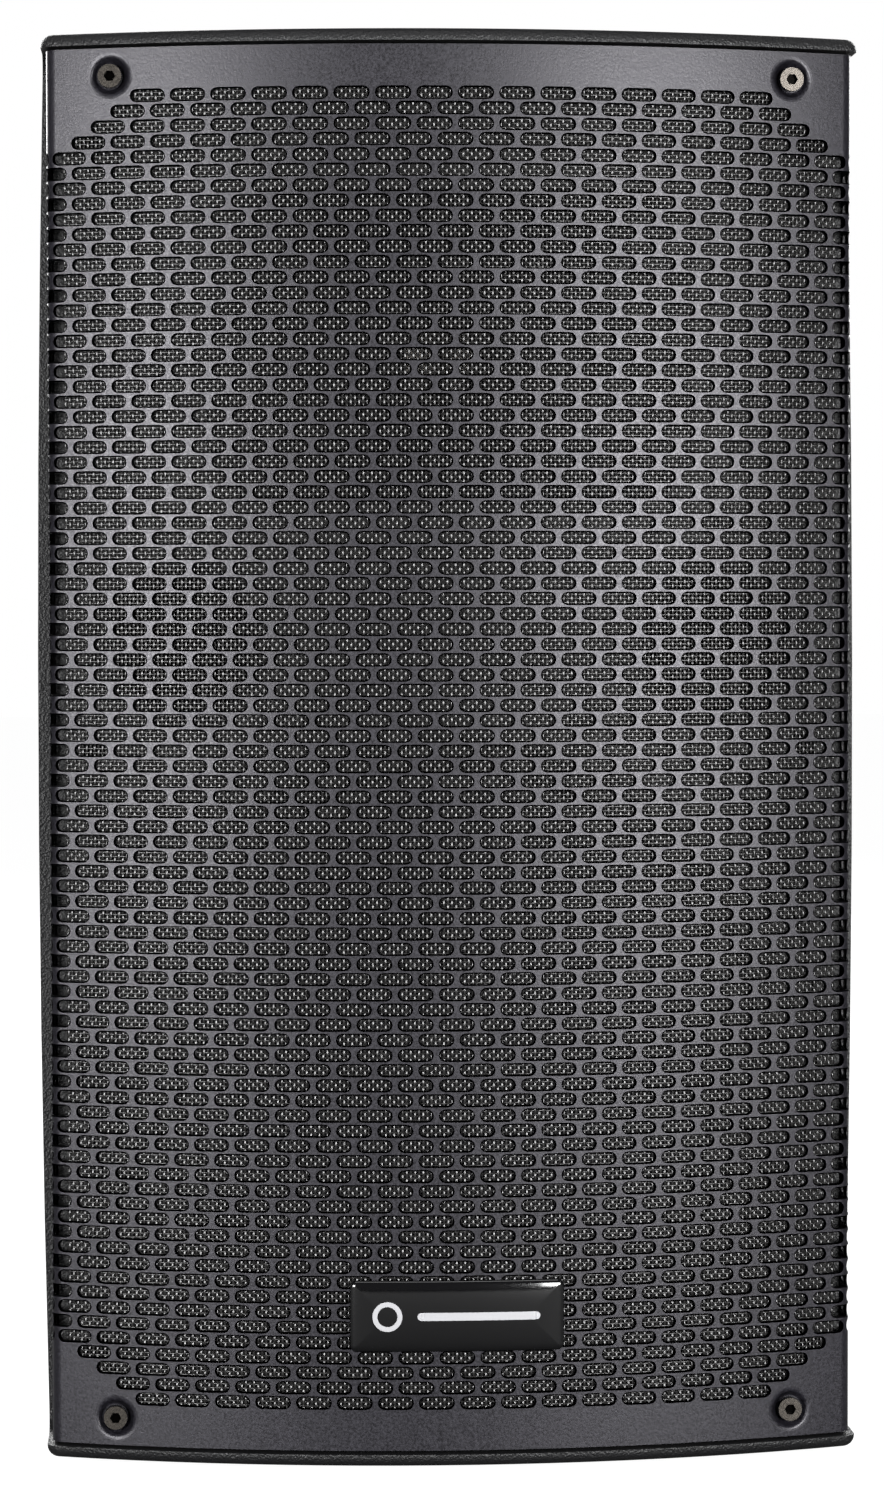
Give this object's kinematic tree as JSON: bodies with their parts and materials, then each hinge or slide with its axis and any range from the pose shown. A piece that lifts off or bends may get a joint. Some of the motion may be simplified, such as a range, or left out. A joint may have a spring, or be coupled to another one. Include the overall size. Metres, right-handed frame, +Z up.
{
  "type": "pa speaker cabinet",
  "caption": "Moulded two-way PA loudspeaker cabinet, wrap-round punched steel grille, driver assembly, rear amplifier panel, top handle and stand socket.",
  "frame": {"origin": "on the floor plane under the middle of the cabinet's bounding box, standing on its rubber feet", "axes": "+Z up along the cabinet's height, -Y out of the grille, +X to the right seen from the front"},
  "size_m": [0.2932, 0.2699, 0.503],
  "materials": {
    "badge_gloss": "glossy domed black with a light silver device",
    "basket_steel": "black pressed steel",
    "board_green": "glass-fibre board",
    "brass_insert": "turned",
    "capacitor_sleeve": "sleeved can",
    "cone_paper": "pressed paper",
    "control_metal": "pressed control bodies",
    "copper_wire": "enamelled copper winding",
    "cup_steel": "black coated steel",
    "ferrite": "dark grey sintered ferrite",
    "foam": "closed-cell foam",
    "foot_rubber": "grey-black rubber",
    "grille_coat": "satin charcoal powder coat",
    "grip_rubber": "moulded grip",
    "horn_plastic": "smooth black",
    "knob_plastic": "soft-touch",
    "led_lens": "diffused lens",
    "mesh_black": "glossy black plain weave",
    "moulded_black": "fine leather-grained moulding",
    "panel_coat": "fine black texture",
    "pin_brass": "nickel-plated brass",
    "plated_steel": "zinc-plated",
    "screw_dark": "nickel-plated",
    "sink_black": "black anodised",
    "socket_plastic": "moulded",
    "spider_cloth": "resin-dipped cloth",
    "surround_rubber": "soft black roll",
    "tab_grey": "light grey tab",
    "tape_yellow": "polyester tape over the windings",
    "titanium": "thin formed dome",
    "wadding": "white polyester"
  },
  "bodies": {
    "cabinet": {"amp_gasket": "foam", "amp_panel": "panel_coat", "amp_panel_screws": "screw_dark", "badge": "badge_gloss", "combo_sockets": "socket_plastic", "connector_screws": "screw_dark", "countersunk_screws": "screw_dark", "damping_pads": "wadding", "fly_inserts": "brass_insert", "front_baffle": "moulded_black", "grille": "grille_coat", "grille_inserts": "brass_insert", "grille_mesh": "mesh_black", "grille_screws": "screw_dark", "handle_bar": "grip_rubber", "heatsink": "sink_black", "hf_magnet": "ferrite", "hf_pole_piece": "plated_steel", "hf_rear_cap": "horn_plastic", "hf_top_plate": "plated_steel", "horn": "horn_plastic", "horn_screws": "screw_dark", "inlet_pins": "pin_brass", "input_board": "board_green", "link_socket": "socket_plastic", "mains_inlet": "socket_plastic", "mains_transformer": "tape_yellow", "pole_cup": "cup_steel", "port_tubes": "horn_plastic", "pot_bodies": "control_metal", "power_board": "board_green", "rear_shell": "moulded_black", "reservoir_capacitors": "capacitor_sleeve", "rocker_frame": "socket_plastic", "rubber_feet": "foot_rubber", "shell_screws": "screw_dark", "status_leds": "led_lens", "woofer_back_plate": "plated_steel", "woofer_basket": "basket_steel", "woofer_gasket": "foam", "woofer_magnet": "ferrite", "woofer_screws": "screw_dark", "woofer_spider": "spider_cloth", "woofer_surround": "surround_rubber", "woofer_top_plate": "plated_steel"},
    "cone": {"woofer_cone": "cone_paper", "woofer_dust_cap": "cone_paper", "woofer_voice_coil": "copper_wire"},
    "hf_dome": {"hf_diaphragm": "titanium"},
    "knob_treble": {"knob_treble": "knob_plastic"},
    "knob_bass": {"knob_bass": "knob_plastic"},
    "knob_level_1": {"knob_level_1": "knob_plastic"},
    "knob_level_2": {"knob_level_2": "knob_plastic"},
    "knob_master": {"knob_master": "knob_plastic"},
    "line_button_1": {"line_button_1": "knob_plastic"},
    "latch_tab_1": {"latch_tab_1": "tab_grey"},
    "line_button_2": {"line_button_2": "knob_plastic"},
    "latch_tab_2": {"latch_tab_2": "tab_grey"},
    "rocker": {"rocker_button": "socket_plastic"},
    "fuse_drawer": {"fuse_drawer": "socket_plastic"}
  },
  "joints": [
    {"name": "cone_travel", "type": "slide", "parent": "cabinet", "child": "cone", "axis": [0, -1, 0], "range_m": [-0.005, 0.005], "stiffness_N_per_m": 4000, "deforming": ["woofer_surround", "woofer_spider"]},
    {"name": "hf_dome_travel", "type": "slide", "parent": "cabinet", "child": "hf_dome", "axis": [0, -1, 0], "range_m": [-0.0003, 0.0003], "stiffness_N_per_m": 2000},
    {"name": "knob_treble_turn", "type": "hinge", "parent": "cabinet", "child": "knob_treble", "pos_m": [-0.024, 0.123, 0.376], "axis": [0, 1, 0], "range_deg": [-150, 150]},
    {"name": "knob_bass_turn", "type": "hinge", "parent": "cabinet", "child": "knob_bass", "pos_m": [0.024, 0.123, 0.376], "axis": [0, 1, 0], "range_deg": [-150, 150]},
    {"name": "knob_level_1_turn", "type": "hinge", "parent": "cabinet", "child": "knob_level_1", "pos_m": [-0.046, 0.123, 0.345], "axis": [0, 1, 0], "range_deg": [-150, 150]},
    {"name": "knob_level_2_turn", "type": "hinge", "parent": "cabinet", "child": "knob_level_2", "pos_m": [0, 0.123, 0.345], "axis": [0, 1, 0], "range_deg": [-150, 150]},
    {"name": "knob_master_turn", "type": "hinge", "parent": "cabinet", "child": "knob_master", "pos_m": [0.046, 0.123, 0.345], "axis": [0, 1, 0], "range_deg": [-150, 150]},
    {"name": "line_button_1_press", "type": "slide", "parent": "cabinet", "child": "line_button_1", "axis": [0, -1, 0], "range_m": [0, 0.0025], "stiffness_N_per_m": 600},
    {"name": "latch_tab_1_press", "type": "slide", "parent": "cabinet", "child": "latch_tab_1", "axis": [0, -1, 0], "range_m": [0, 0.002], "stiffness_N_per_m": 800},
    {"name": "line_button_2_press", "type": "slide", "parent": "cabinet", "child": "line_button_2", "axis": [0, -1, 0], "range_m": [0, 0.0025], "stiffness_N_per_m": 600},
    {"name": "latch_tab_2_press", "type": "slide", "parent": "cabinet", "child": "latch_tab_2", "axis": [0, -1, 0], "range_m": [0, 0.002], "stiffness_N_per_m": 800},
    {"name": "rocker_switch", "type": "hinge", "parent": "cabinet", "child": "rocker", "pos_m": [0.044, 0.112, 0.124], "axis": [1, 0, 0], "range_deg": [-20, 0]},
    {"name": "fuse_drawer_slide", "type": "slide", "parent": "cabinet", "child": "fuse_drawer", "axis": [0, 1, 0], "range_m": [0, 0.014]}
  ]
}
